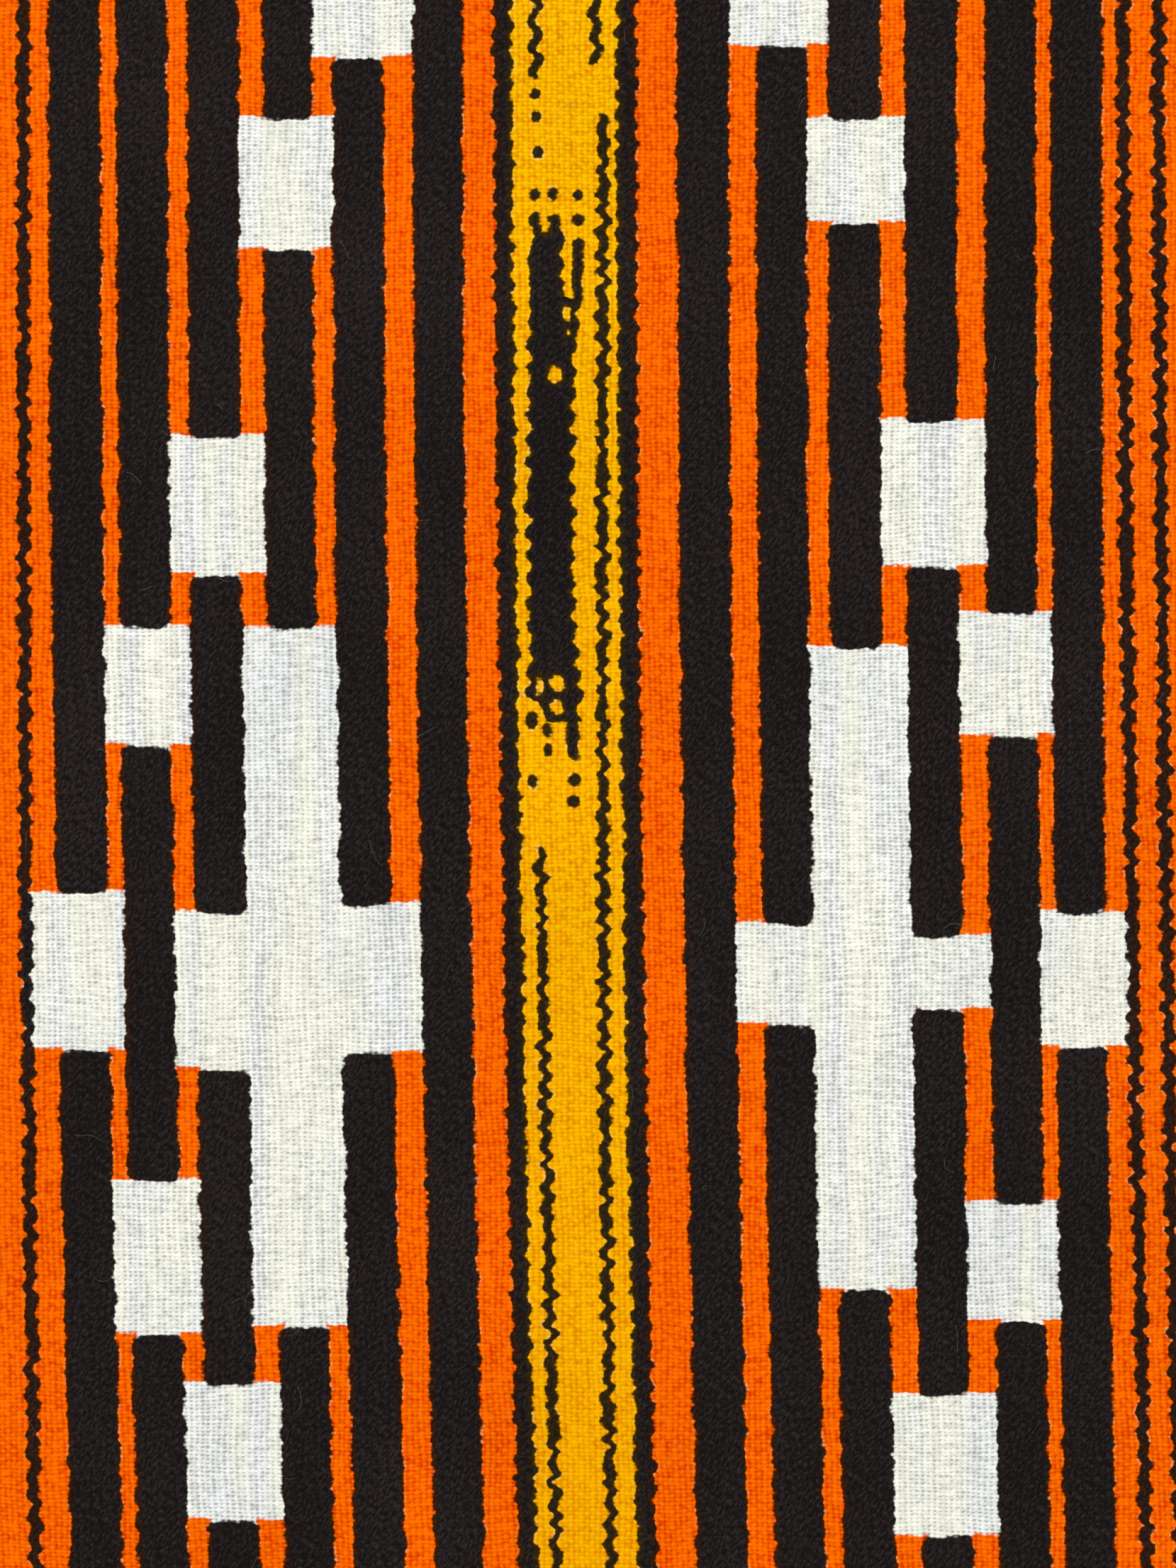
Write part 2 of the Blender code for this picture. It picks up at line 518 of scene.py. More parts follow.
class Finish:
    """A material, and the one way that nodes are added to it."""

    ROW = 40
    STEP = (190.0, -260.0)

    def __init__(self, name):
        self.material = bpy.data.materials.new(name)
        self.material.use_nodes = True
        self.tree = self.material.node_tree
        self.tree.nodes.clear()

    def node(self, kind, settings=None, sockets=None, output=0):
        """Adds a node: its settings first, then the values or links of its sockets."""
        made = self.tree.nodes.new(kind)
        count = len(self.tree.nodes)
        made.location = (count % self.ROW * self.STEP[0], count // self.ROW * self.STEP[1])
        for name, value in (settings or {}).items():
            if name == "points":
                self.set_points(made.mapping, value)
            else:
                setattr(made, name, value)
        for name, value in (sockets or {}).items():
            if isinstance(value, Value):
                self.tree.links.new(value.output, made.inputs[name])
            else:
                made.inputs[name].default_value = value
        return Value(self, made.outputs[output]) if made.outputs else None

    @staticmethod
    def set_points(mapping, points):
        """A curve's points, from the first to the last."""
        curve = mapping.curves[0]
        while len(curve.points) < len(points):
            curve.points.new(0.5, 0.5)
        for point, place in zip(curve.points, points):
            point.location = place
            point.handle_type = "VECTOR"
        mapping.update()

    def mixed(self, factor, first, second):
        """The first colour where the factor is 0, the second where it is 1."""
        return self.node("ShaderNodeMix", {"data_type": "RGBA"}, {0: factor, 6: first, 7: second}, 2)

    def brightened(self, colour, factor):
        """A colour multiplied by a number."""
        return self.node("ShaderNodeVectorMath", {"operation": "SCALE"}, {0: colour, 3: factor})

    def place(self, x, y):
        return self.node("ShaderNodeCombineXYZ", {}, {0: x, 1: y})

    def parts(self, vector):
        """A vector's three numbers."""
        first = self.node("ShaderNodeSeparateXYZ", {}, {0: vector})
        return first, first.also("Y"), first.also("Z")

    def distance(self, place, middle):
        return self.node("ShaderNodeVectorMath", {"operation": "DISTANCE"}, {0: place, 1: middle}, 1)

    def noise(self, field, place, output="Fac"):
        """A field's soft noise around a half."""
        sockets = {0: place, 1: (*field.scale, 1.0), 2: (*field.start, 0.0)}
        place = self.node("ShaderNodeVectorMath", {"operation": "MULTIPLY_ADD"}, sockets)
        sockets = {"Vector": place, "Scale": 1.0, "Detail": field.detail, "Roughness": field.roughness}
        return self.node("ShaderNodeTexNoise", {"noise_dimensions": "2D"}, sockets, output)

    def uneven(self, field, place):
        """A field's soft noise around 0."""
        return self.noise(field, place) - 0.5

    def chance(self, x, y):
        """An even random number from -0.5 to 0.5 for each whole step across and down."""
        place = self.place(x.math("FLOOR"), y.math("FLOOR"))
        found = self.node("ShaderNodeTexWhiteNoise", {"noise_dimensions": "2D"}, {"Vector": place}, "Value")
        return found - 0.5

    def smooth(self, value, low, high):
        """From 0 at low to 1 at high, smoothly."""
        settings = {"interpolation_type": "SMOOTHSTEP"}
        return self.node("ShaderNodeMapRange", settings, {0: value, 1: low, 2: high, 3: 0.0, 4: 1.0})

    def curve(self, value, points, along, across):
        """A given curve of a value between along's two limits, giving one between across's two."""
        length = along[1] - along[0]
        reach = across[1] - across[0]
        shares = [((y - along[0]) / length, (x - across[0]) / reach) for y, x in points]
        sockets = {"Value": (value - along[0]) / length}
        drawn = self.node("ShaderNodeFloatCurve", {"points": shares}, sockets)
        return drawn * reach + across[0]

    def done(self, sockets):
        """The material, ended with one Principled BSDF."""
        shader = self.node("ShaderNodeBsdfPrincipled", {}, sockets)
        self.node("ShaderNodeOutputMaterial", {}, {"Surface": shader})
        return self.material


def least(values):
    """The least of some values, kept as one running value."""
    values = iter(values)
    found = next(values)
    for value in values:
        found = found.min(value)
    return found


def opaque(colour):
    """A colour with its alpha."""
    return (colour[0], colour[1], colour[2], 1.0)


# A place as the plates take it: across, down for the black and for the coloured inks, across and down for
# the dots, and how unruly the wavy lines are there
Place = namedtuple("Place", "x black_y ink_y dot_x dot_y unrest")

# How far outside the black and the coloured inks a place is, below 0 inside them, and which side of a
# coloured area it is nearer to: 1 for the left, 0 for the right
Edges = namedtuple("Edges", "black ink left_side")


class Print:
    """The charted print in one section.

    Each mark is a signed distance in millimetres, below 0 inside it.
    """

    def __init__(self, finish, section):
        self.finish = finish
        self.section = section

    def here(self, marks):
        """The marks that reach into the section."""
        return [mark for mark in marks if mark.left < self.section.right and mark.right > self.section.left]

    def holds(self, x):
        return self.section.left < x < self.section.right

    def band(self, x, left, right):
        """Between two upright lines."""
        return abs(x - 0.5 * (left + right)) - 0.5 * (right - left)

    def zigzag(self, y, period, start):
        """From -1 to 1 and back over each period."""
        return -(y + start).cosine(period)

    def stripes(self, x, y):
        found = []
        for stripe in self.here(STRIPES):
            across = x - y * (stripe.drift / VIEW_HEIGHT) if stripe.drift else x
            if stripe.swing:
                across = across - self.zigzag(y, STRIPE_PERIOD, stripe.left) * stripe.swing
            found.append(self.band(across, stripe.left, stripe.right))
        return least(found)

    def blocks(self, place):
        """The white blocks and crosses, as the coloured inks and as the black ink leave them open.

        The black ink's opening is narrower, so that it takes out one stripe and leaves its neighbours alone.
        """
        in_ink = []
        in_black = []
        for block in self.here(BLOCKS + CROSSES):
            across = self.band(place.x, block.left, block.right)
            in_ink.append((across - BLOCK_SPREAD).max(self.band(place.ink_y, block.top, block.foot)))
            in_black.append((across + BLOCK_INSET).max(self.band(place.black_y, block.top, block.foot)))
        return least(in_ink), least(in_black)

    def wave(self, wave, x, y, unrest):
        """One wavy line, with its ends where it has them in the view."""
        middle = y * ((wave.at_foot - wave.at_top) / VIEW_HEIGHT) + wave.at_top
        teeth = self.zigzag(y + unrest * WAVE_HURRY, wave.period, wave.start)
        line = x - middle - teeth * (unrest * WAVE_GROWTH + 1.0) * wave.swing
        line = abs(line) - (unrest * -WAVE_THINNING + wave.half)
        if wave.top != FAR_UP:
            line = line.math("SMOOTH_MAX", wave.top - y, WAVE_END)
        if wave.foot != FAR_DOWN:
            line = line.math("SMOOTH_MAX", y - wave.foot, WAVE_END)
        return line

    def round_marks(self, x, y, dots):
        """Dots, measured as round after their height is taken out."""
        marks = []
        for tall in sorted({dot.tall for dot in dots}):
            squeezed = self.finish.place(x, y * (1.0 / tall))
            for dot in dots:
                if dot.tall == tall:
                    marks.append(self.finish.distance(squeezed, (dot.x, dot.y / tall, 0.0)) - dot.radius)
        return least(marks)

    def prong(self, x, y, prong):
        """A round-ended bar between two places, one above the other."""
        height = prong.y1 - prong.y0
        share = ((y - prong.y0) / height).clamped()
        middle = self.finish.place(share * (prong.x1 - prong.x0) + prong.x0, share * height + prong.y0)
        return self.finish.distance(self.finish.place(x, y), middle) - prong.radius

    def figure_side(self, y, points, swing, start):
        """One side of the long black figure, as its place across."""
        side = self.finish.curve(y, points, (BODY_TOP, BODY_FOOT), FIGURE_REACH)
        return side + self.zigzag(y, BODY_PERIOD, start) * swing

    def figure(self, x, y):
        """The long black figure in the yellow band."""
        swing = self.finish.smooth(y, BODY_ZIGZAG_TOP, BODY_ZIGZAG_FULL) * BODY_SWING
        left = self.figure_side(y, BODY_LEFT, swing, BODY_LEFT_START)
        right = self.figure_side(y, BODY_RIGHT, swing, BODY_RIGHT_START)
        body = (left - x).max(x - right)
        body = body.max(BODY_TOP - y).max(y - BODY_FOOT)
        body = least([body] + [self.prong(x, y, prong) for prong in PRONGS])
        return body.max(-self.round_marks(x, y, BEADS))

    def edges(self, place):
        """Where the inks lie.

        The coloured inks leave the white blocks open, and reach only a little way in under the broad black
        stripes and the figure.
        """
        stripes = self.stripes(place.x, place.ink_y)
        wide = self.stripes(place.x - INK_RIGHT, place.ink_y)
        left_side = ((stripes - wide) * (1.0 / INK_RIGHT)).clamped()
        waves = [wave for wave in WAVES if self.holds(wave.at_top)]
        black = [self.wave(wave, place.x, place.black_y, place.unrest) for wave in waves]
        if self.holds(YELLOW_LEFT):
            figure = self.figure(place.x, place.black_y)
            black += [stripes, figure, self.round_marks(place.dot_x, place.dot_y, DOTS)]
            return Edges(least(black), -(figure + TRAP), left_side)
        in_ink, in_black = self.blocks(place)
        black.append(stripes.math("SMOOTH_MAX", -in_black, BLACK_CORNER))
        return Edges(least(black), (-(wide + TRAP)).max(-in_ink), left_side)


# The plain weave at a place: yarns counted across and down, the surface's height, which yarn is on top, how
# far off the nearest gap is, measured for a wide gap and for a tall one, and the spacing's unevenness
Weave = namedtuple("Weave", "warp weft height parity wide_gap tall_gap uneven")


def weave_of(finish, chart, sizes):
    """The plain weave at each place of the chart."""
    x, y, _ = finish.parts(chart)
    warp_pitch = sizes.warp_pitch / MM
    weft_pitch = sizes.weft_pitch / MM
    warp = (x + finish.uneven(WARP_DRIFT, chart) * YARN_DRIFT) / warp_pitch
    weft = (y + finish.uneven(WEFT_DRIFT, chart) * YARN_DRIFT) / weft_pitch
    uneven = finish.uneven(YARN_SPACING, finish.place(warp, weft))
    warp = warp + uneven * YARN_WANDER
    weft = weft - uneven * YARN_WANDER

    from_warp = warp.math("FRACT") - 0.5
    from_weft = weft.math("FRACT") - 0.5
    parity = (warp * math.pi).math("SINE") * (weft * math.pi).math("SINE")
    warp_height = parity * CROWN_RISE - from_warp * from_warp * WARP_FALL
    weft_height = parity * -CROWN_RISE - from_weft * from_weft * WEFT_FALL
    height = warp_height.math("SMOOTH_MAX", weft_height, YARN_BLEND)

    warp_gap = warp + 0.5
    weft_gap = weft + 0.5
    gap_luck = finish.chance(warp_gap, weft_gap)
    gap_x = (warp_gap.math("FRACT") - 0.5) * warp_pitch
    gap_y = (weft_gap.math("FRACT") - 0.5) * weft_pitch + gap_x * GAP_SLANT
    reach_x = gap_x / GAP_HALF_WIDTH
    reach_y = gap_y / GAP_HALF_HEIGHT
    reach_x = reach_x * reach_x
    reach_y = reach_y * reach_y
    tightness = (gap_luck + uneven) * GAP_VARIETY
    wide_gap = (reach_x + reach_y).math("SQRT") + tightness
    tall_gap = (reach_x * TALL_GAP_ACROSS + reach_y * TALL_GAP_DOWN).math("SQRT") + tightness
    return Weave(warp, weft, height, parity, wide_gap, tall_gap, uneven)


class Cotton:
    """Plain-weave cotton with its print, in one section of the cloth."""

    def __init__(self, section, sizes, colours):
        self.finish = Finish("printed cotton, " + section.name)
        self.sizes = sizes
        self.colours = colours
        self.chart = self.finish.node("ShaderNodeAttribute", {"attribute_name": "chart"}, {}, "Vector")
        self.x, self.y, self.face = self.finish.parts(self.chart)
        self.weave = weave_of(self.finish, self.chart, sizes)
        self.printed = Print(self.finish, section)
        self.find_unevenness()
        self.find_inks()

    def colour(self, name):
        """One of the cloth's colours, by its property's name."""
        return opaque(getattr(self.colours, name))

    def find_unevenness(self):
        """Each yarn crossing's luck, clouds, paler columns, fibres, and how all of it lights a yarn in
        painted light.
        """
        finish = self.finish
        weave = self.weave
        self.luck = finish.chance(weave.warp, weave.weft)
        self.clouds = finish.uneven(CLOUDS, self.chart)
        self.columns = finish.uneven(COLUMNS, self.chart)
        self.fibres = finish.uneven(FIBRES, finish.place(self.x + self.y * FIBRE_SLANT, self.y))
        streaks = finish.uneven(WEFT_STREAKS, finish.place(self.x, weave.weft))
        lanes = finish.uneven(WARP_LANES, finish.place(weave.warp, self.y))
        along_yarns = streaks * STREAK_LIGHT + lanes * LANE_LIGHT
        self.unevenness = along_yarns + self.fibres * FIBRE_LIGHT + weave.uneven * SPACING_LIGHT
        self.lit = weave.height * HEIGHT_LIGHT + self.unevenness + BASE_LIGHT
        tightness = self.columns * COLUMN_TIGHTNESS + GAP_TIGHTNESS
        self.gap = finish.smooth(weave.wide_gap + tightness, GAP_RIM, GAP_CORE)

    def find_inks(self):
        """Where the black and the coloured inks lie, from 0 to 1, with edges as ragged as the yarns."""
        finish = self.finish
        weave = self.weave
        wobble = [part - 0.5 for part in finish.parts(finish.noise(EDGE_WOBBLE, self.chart, "Color"))]
        self.unrest = finish.uneven(LINE_UNREST, self.chart)
        place = Place(
            x=self.x + wobble[0] * WOBBLE,
            black_y=self.y + wobble[2] * WOBBLE_DOWN - BLACK_LOW,
            ink_y=self.y + wobble[1] * WOBBLE_DOWN,
            dot_x=self.x + wobble[0] * DOT_WOBBLE,
            dot_y=self.y - DOT_LOW,
            unrest=self.unrest,
        )
        edges = self.printed.edges(place)
        scallops = (weave.weft.cosine(1.0) + weave.warp.cosine(1.0)) * CROWN_SCALLOP
        ragged = self.luck * LUCK_SCALLOP - scallops + weave.parity * PARITY_SCALLOP
        self.left_side = edges.left_side
        self.black_edge = edges.black + ragged - BLACK_SPREAD
        bare = finish.smooth(self.black_edge, -EDGE_SOFT, EDGE_SOFT)
        self.black = 1.0 - bare * bare
        self.ink = finish.smooth(edges.ink + ragged, EDGE_SOFT, -EDGE_SOFT)

    def inked(self):
        """The coloured inks' colour in the gaps' painted shade and on the crowns: orange, and yellow in its
        band.
        """
        low = self.colour("orange_gap_shade")
        high = self.colour("orange")
        if self.printed.holds(YELLOW_LEFT):
            finish = self.finish
            band = self.printed.band(self.x, YELLOW_LEFT, YELLOW_RIGHT)
            in_band = finish.smooth(band, YELLOW_SOFT, -YELLOW_SOFT)
            lower_down = (self.y / VIEW_HEIGHT).clamped()
            yellow = finish.mixed(lower_down, self.colour("yellow"), self.colour("yellow_below"))
            low = finish.mixed(in_band, low, self.colour("yellow_gap_shade"))
            high = finish.mixed(in_band, high, yellow)
        return low, high

    def white(self, lit):
        """Unprinted yarns, in white and creamy columns, with painted shade in their gaps."""
        creamy = (self.columns * COLUMN_CREAM + self.clouds * CLOUD_CREAM + CREAM).clamped()
        crown = self.finish.mixed(creamy, self.colour("white"), self.colour("cream"))
        return self.finish.mixed(lit, self.colour("white_gap_shade"), crown)

    def coloured(self, low, high):
        """Yarns under the coloured inks, in painted light and shade, barely inked beside the black."""
        finish = self.finish
        weave = self.weave
        hollow = finish.smooth(weave.tall_gap, GAP_RIM, GAP_CORE)
        crown = finish.smooth(weave.parity, 0.0, INK_CROWN_FULL)
        lit = self.lit + crown * INK_CROWN_LIGHT + self.luck * INK_LUCK_LIGHT
        lit = lit - hollow * INK_HOLLOW_SHADE + weave.uneven * INK_SPACING_LIGHT - INK_SHADE
        patchy = finish.smooth(self.luck + self.unrest * TIP_UNREST, 0.0, TIP_PATCH)
        tip = finish.smooth(self.black_edge, TIP_FAR, TIP_NEAR) * patchy
        tip = tip * (self.left_side * (1.0 - TIP_RIGHT_SHARE) + TIP_RIGHT_SHARE)
        tip = tip * finish.smooth(weave.height, TIP_LOW, TIP_HIGH) * PALE_TIP
        return finish.mixed(tip, finish.mixed(lit.clamped(), low, high), self.colour("pale_tip"))

    def blackened(self, high):
        """The black ink with its slanted glints, painted highlights of its fibres, tinted near its edge by
        the ink beneath.
        """
        finish = self.finish
        glint_x = self.x * math.cos(GLINT_TURN) - self.y * math.sin(GLINT_TURN)
        glint_y = self.x * math.sin(GLINT_TURN) + self.y * math.cos(GLINT_TURN)
        glints = finish.uneven(GLINTS, finish.place(glint_x, glint_y)) + self.unevenness * GLINT_YARNS
        glints = glints + self.weave.parity * GLINT_PARITY + self.clouds * GLINT_CLOUDS
        glints = finish.smooth(glints, GLINT_NONE, GLINT_FULL) * (1.0 - self.gap * GLINT_GAP_SHADE)
        # Painted highlights of the fibres on the black ink and on its deep rim
        plain = finish.mixed(glints, self.colour("black"), self.colour("black_painted_glint"))
        deep = finish.mixed(DEEP_TINT, self.colour("black_over_ink"), high)
        under = self.ink * finish.smooth(self.black_edge, -UNDER_REACH, 0.0)
        return finish.mixed(under, plain, finish.brightened(deep, glints * DEEP_GLINT + DEEP_LIGHT))

    def material(self):
        """The whole finish: the face's colours with painted light and shade, the paler back and the weave's
        relief.
        """
        finish = self.finish
        white_lit = (self.lit + self.weave.parity * PARITY_LIGHT - self.gap * GAP_SHADE).clamped()
        low, high = self.inked()
        cloth = finish.mixed(self.ink, self.white(white_lit), self.coloured(low, high))
        cloth = finish.brightened(cloth, self.clouds * CLOUD_LIGHT + 1.0)
        front = finish.mixed(self.black, cloth, self.blackened(high))
        back = finish.mixed(BACK_PALENESS, front, self.colour("white"))
        # The back's gaps keep part of the face's painted shade
        back = finish.brightened(back, white_lit * (1.0 - BACK_GAP_LIGHT) + BACK_GAP_LIGHT)
        relief = self.weave.height + self.fibres * FIBRE_RELIEF
        bump = {"Strength": 1.0, "Distance": self.sizes.relief, "Height": relief}
        return finish.done({
            "Base Color": finish.mixed(self.face, back, front),
            "Roughness": 0.92,
            "Specular IOR Level": 0.01,
            "Normal": finish.node("ShaderNodeBump", {}, bump, "Normal"),
        })


def fibre_finish(colours):
    """Loose undyed cotton fibres."""
    finish = Finish("loose cotton fibre")
    place = finish.node("ShaderNodeTexCoord", {}, {}, "Object")
    tint = finish.smooth(finish.uneven(FIBRE_TINT, place), -FIBRE_TINT_SOFT, FIBRE_TINT_SOFT)
    darker = opaque([FIBRE_SHADE * part for part in colours.fibre])
    colour = finish.mixed(tint, darker, opaque(colours.fibre))
    return finish.done({"Base Color": colour, "Roughness": 0.8, "Specular IOR Level": 0.2})


def floor_finish(colour):
    """A pale, plain, matt floor."""
    finish = Finish("pale floor")
    place = finish.node("ShaderNodeTexCoord", {}, {}, "Object")
    darker = opaque([FLOOR_SHADE * part for part in colour])
    grain = finish.mixed(finish.noise(FLOOR_GRAIN, place), darker, opaque(colour))
    return finish.done({"Base Color": grain, "Roughness": 0.8})


def add_object(name, vertices, faces, material):
    """A smooth mesh object with its finish."""
    mesh = bpy.data.meshes.new(name)
    mesh.from_pydata(vertices, [], faces)
    mesh.shade_smooth()
    mesh.materials.append(material)
    made = bpy.data.objects.new(name, mesh)
    bpy.context.scene.collection.objects.link(made)
    return made


def add_printed(name, vertices, faces, chart, finishes):
    """A smooth mesh object with the print's place at each point, and each section's finish on its faces."""
    made = add_object(name, vertices, faces, finishes[0])
    mesh = made.data
    layer = mesh.attributes.new("chart", "FLOAT_VECTOR", "POINT")
    layer.data.foreach_set("vector", np.asarray(chart, np.float32).ravel())
    for finish in finishes[1:]:
        mesh.materials.append(finish)
    first = np.array([face[0] for face in faces])
    edges = [section.right for section in SECTIONS[:-1]]
    mesh.polygons.foreach_set("material_index", np.searchsorted(edges, np.asarray(chart)[first, 0]))
    return made


def rim_of(columns, rows):
    """The grid's outer points, anticlockwise from its lower left."""
    lower = [(0, column) for column in range(columns)]
    right = [(row, columns) for row in range(rows)]
    upper = [(rows, column) for column in range(columns, 0, -1)]
    left = [(row, 0) for row in range(rows, 0, -1)]
    return lower + right + upper + left


def sheet_faces(columns, rows):
    """The face, the underside and the cut edges of a closed sheet."""
    width = columns + 1
    layer = width * (rows + 1)
    faces = []
    for row in range(rows):
        for column in range(columns):
            a = row * width + column
            b = a + width
            faces.append((a, b, b + 1, a + 1))
            faces.append((layer + a, layer + a + 1, layer + b + 1, layer + b))
    rim = [row * width + column for row, column in rim_of(columns, rows)]
    for a, b in zip(rim, rim[1:] + rim[:1]):
        faces.append((a, b, layer + b, layer + a))
    return faces


class FibreMesh:
    """Many fine fibres gathered into one mesh."""

    SIDES = 4

    def __init__(self):
        self.vertices = []
        self.faces = []

    def add(self, points, radii):
        """A tapering fibre along some points, closed at both ends."""
        first = len(self.vertices)
        points = [np.asarray(point, float) for point in points]
        for i, (point, radius) in enumerate(zip(points, radii)):
            ahead = points[min(i + 1, len(points) - 1)] - points[max(i - 1, 0)]
            ahead /= np.linalg.norm(ahead)
            side = np.cross(ahead, (0.0, 0.0, 1.0))
            if np.linalg.norm(side) < 0.1:
                side = np.cross(ahead, (1.0, 0.0, 0.0))
            side /= np.linalg.norm(side)
            up = np.cross(side, ahead)
            for k in range(self.SIDES):
                angle = 2.0 * math.pi * k / self.SIDES
                spoke = math.cos(angle) * side + math.sin(angle) * up
                self.vertices.append(tuple(point + radius * spoke))
        for i in range(len(points) - 1):
            for k in range(self.SIDES):
                a = first + i * self.SIDES + k
                b = first + i * self.SIDES + (k + 1) % self.SIDES
                self.faces.append((a, a + self.SIDES, b + self.SIDES, b))
        last = first + (len(points) - 1) * self.SIDES
        self.faces.append(tuple(range(first, first + self.SIDES)))
        self.faces.append(tuple(range(last + self.SIDES - 1, last - 1, -1)))


def face_place(x, y, thickness):
    """Where a flat place of the printed face lies."""
    point = laid(np.float64(x), np.float64(y))
    return point + np.array((0.0, 0.0, thickness))


def length_property(name, description, default):
    return bpy.props.FloatProperty(
        name=name, description=description, default=default, min=0.0, unit="LENGTH", precision=6
    )


def power_property(name, description, default):
    return bpy.props.FloatProperty(
        name=name, description=description, default=default, min=0.0, unit="POWER", precision=2
    )


def place_property(name, description, default):
    return bpy.props.FloatVectorProperty(
        name=name, description=description, default=default, unit="LENGTH", subtype="TRANSLATION"
    )


def colour_property(name, description, default):
    return bpy.props.FloatVectorProperty(
        name=name, description=description, default=default, subtype="COLOR", size=3, min=0.0, max=1.0
    )


class PrintedCottonSizes(bpy.types.PropertyGroup):
    """Sizes of the cloth, its weave and its cut edges."""

    thickness: length_property("Thickness", "How thick the cloth is", 0.35 * MM)
    columns: bpy.props.IntProperty(
        name="Columns", description="Cells across the cloth's mesh", default=188, min=2
    )
    rows: bpy.props.IntProperty(name="Rows", description="Cells along the cloth's mesh", default=250, min=2)
    warp_pitch: length_property("Warp pitch", "Between the yarns that run along the stripes", 0.615 * MM)
    weft_pitch: length_property("Weft pitch", "Between the yarns that run across the stripes", 0.424 * MM)
    relief: length_property("Relief", "How far the weave stands up", 0.045 * MM)
    yarn: length_property("Yarn", "How thick a yarn is", 0.2 * MM)
    longest_end: length_property("Longest yarn end", "How far one may stand out of a cut edge", 0.9 * MM)
    stray_fibres: bpy.props.IntProperty(
        name="Stray fibres", description="Loose fibres lying on the face", default=90, min=0
    )
    seed: bpy.props.IntProperty(name="Seed", description="Which random fibres are drawn", default=17)


class PrintedCottonColours(bpy.types.PropertyGroup):
    """Colours of the cloth and its inks, on a yarn's crown and in the painted shade of the gaps between
    yarns.
    """

    white: colour_property("White", "Unprinted yarn", (0.92, 0.94, 0.93))
    cream: colour_property("Cream", "Unprinted yarn where it is creamier", (0.96, 0.955, 0.82))
    # The gap colours are painted shade between the yarns
    white_gap_shade: colour_property("White gap", "Between unprinted yarns", (0.44, 0.445, 0.42))
    pale_tip: colour_property("Pale tip", "Barely inked yarn beside the black", (0.95, 0.75, 0.35))
    yellow: colour_property("Yellow", "Yarn under the yellow ink", (0.97, 0.53, 0.0))
    yellow_below: colour_property("Yellow below", "The same towards the lower end", (0.94, 0.455, 0.0))
    # Painted shade between yellow yarns
    yellow_gap_shade: colour_property("Yellow gap", "Between yellow yarns", (0.74, 0.225, 0.0))
    orange: colour_property("Orange", "Yarn under the orange ink", (0.98, 0.162, 0.0))
    # Painted shade between orange yarns
    orange_gap_shade: colour_property("Orange gap", "Between orange yarns", (0.69, 0.036, 0.0))
    black: colour_property("Black", "Yarn under the black ink", (0.0092, 0.0064, 0.0066))
    # A painted highlight: the fibres' glints on the black ink
    black_painted_glint: colour_property("Black glint", "Fibres showing through the black", (0.032, 0.0265, 0.0245))
    black_over_ink: colour_property("Black over ink", "Black over a coloured ink", (0.007, 0.0054, 0.0022))
    fibre: colour_property("Fibre", "Loose fibres", (0.42, 0.40, 0.33))
    floor: colour_property("Floor", "The pale floor", (0.80, 0.79, 0.77))


class PrintedCottonStage(bpy.types.PropertyGroup):
    """The light, the floor and the camera."""

    floor_size: length_property("Floor size", "The floor's side", 3.0)
    lamp_power: power_property("Lamp power", "The soft lamp's power in watts", 106.0)
    lamp_size: length_property("Lamp size", "The soft lamp's side", 1.5)
    lamp_place: place_property("Lamp place", "Where the soft lamp hangs", (-1.9, 1.0, 3.4))
    fill_power: power_property("Fill power", "The fill lamp's power in watts", 5.2)
    fill_size: length_property("Fill size", "The fill lamp's side", 0.5)
    fill_place: place_property("Fill place", "Where the fill lamp hangs", (0.35, 0.75, 1.10))
    sky: bpy.props.FloatProperty(
        name="Sky", description="Strength of the even light all round", default=0.31, min=0.0
    )
    view_height: length_property("View height", "How much cloth the camera sees", VIEW_HEIGHT * MM)
    lens: bpy.props.FloatProperty(
        name="Lens", description="Focal length in millimetres", default=50.0, min=1.0
    )


class PRINTED_COTTON_OT_cloth(bpy.types.Operator):
    """Build the printed cloth in its solid's place"""

    bl_idname = "printed_cotton.cloth"
    bl_label = "Cloth"

    def execute(self, context):
        sizes = context.scene.printed_cotton_sizes
        flat = cut_grid(sizes.columns, sizes.rows)
        lower = laid(*flat)
        upper = lower + np.array((0.0, 0.0, sizes.thickness))
        across, down = chart_place(lower)
        vertices = np.concatenate([lower.reshape(-1, 3), upper.reshape(-1, 3)])
        sides = [np.full(across.size, face) for face in (0.0, 1.0)]
        chart = [np.stack([across.ravel(), down.ravel(), side], axis=-1) for side in sides]
        colours = context.scene.printed_cotton_colours
        finishes = [Cotton(section, sizes, colours).material() for section in SECTIONS]
        faces = sheet_faces(sizes.columns, sizes.rows)
        cloth = add_printed("printed_cloth", vertices.tolist(), faces, np.concatenate(chart), finishes)
        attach(cloth, BODY)
        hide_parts(NODE)
        return {"FINISHED"}


